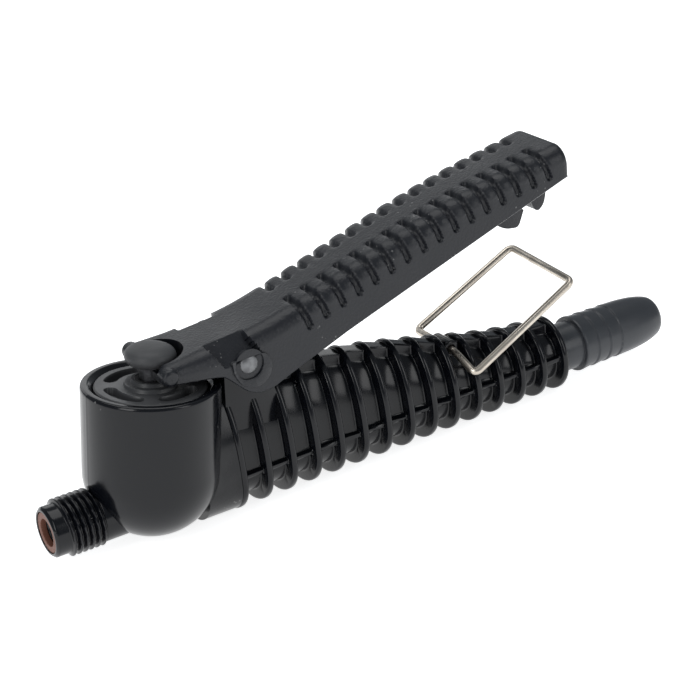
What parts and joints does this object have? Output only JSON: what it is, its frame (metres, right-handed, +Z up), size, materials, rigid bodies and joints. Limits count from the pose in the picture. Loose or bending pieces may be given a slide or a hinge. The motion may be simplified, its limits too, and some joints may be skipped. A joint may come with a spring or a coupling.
{
  "type": "sprayer trigger handle",
  "caption": "Hand-held sprayer shut-off handle with threaded outlet, upright valve chamber, squeeze lever, finned grip, wire lever latch and ringed hose tail.",
  "frame": {"origin": "middle of the object's length and width, at the height of the chamber's lowest point", "axes": "+X along the flow axis from the threaded outlet to the hose tail, +Z up from the grip to the lever, +Y across"},
  "size_m": [0.175, 0.032, 0.0672],
  "materials": {
    "valve_body": "glossy black moulding",
    "outlet_gasket": "brown",
    "hose_tail": "satin black",
    "tail_seal": "plain black",
    "strainer_frame": "natural white",
    "strainer_mesh": "woven",
    "valve_seat": "turned",
    "guide_bush": "natural white",
    "bush_ring": "plain black",
    "stem_ring_lower": "plain black",
    "stem_ring_upper": "plain black",
    "packing_washer": "natural white",
    "valve_cap": "satin black",
    "stem_wiper": "plain black",
    "spring": "drawn wire",
    "pivot_pin": "dull grey",
    "pin_washer": "plain",
    "stem": "turned",
    "stem_button": "worn dark grey",
    "seat_washer": "plain black",
    "washer_screw": "turned",
    "lever": "fine grained charcoal black",
    "latch_wire": "bright drawn wire"
  },
  "bodies": {
    "handle": {"valve_body": "valve_body", "outlet_gasket": "outlet_gasket", "hose_tail": "hose_tail", "tail_seal": "tail_seal", "strainer_frame": "strainer_frame", "strainer_mesh": "strainer_mesh", "valve_seat": "valve_seat", "guide_bush": "guide_bush", "bush_ring": "bush_ring", "stem_ring_lower": "stem_ring_lower", "stem_ring_upper": "stem_ring_upper", "packing_washer": "packing_washer", "valve_cap": "valve_cap", "stem_wiper": "stem_wiper", "spring": "spring", "pivot_pin": "pivot_pin", "pin_washer": "pin_washer"},
    "lever": {"lever": "lever"},
    "valve_stem": {"stem": "stem", "stem_button": "stem_button", "seat_washer": "seat_washer", "washer_screw": "washer_screw"},
    "latch": {"latch_wire": "latch_wire"}
  },
  "joints": [
    {"name": "lever_hinge", "type": "hinge", "parent": "handle", "child": "lever", "pos_m": [-0.0372, 0, 0.03885], "axis": [0, 1, 0], "range_deg": [0, 7], "stiffness_Nm_per_rad": 0.674, "springref_deg": -10.81},
    {"name": "stem_slide", "type": "slide", "parent": "handle", "child": "valve_stem", "axis": [0.1305, 0, 0.9914], "range_m": [0, 0.0026], "deforming": ["spring"]},
    {"name": "latch_hinge", "type": "hinge", "parent": "handle", "child": "latch", "pos_m": [0.0219, 0, 0.02125], "axis": [0, -1, 0], "range_deg": [-20, 14.5]}
  ],
  "couplings": [
    {"joint": "stem_slide", "follows": "lever_hinge", "m_per_rad": 0.0212}
  ]
}
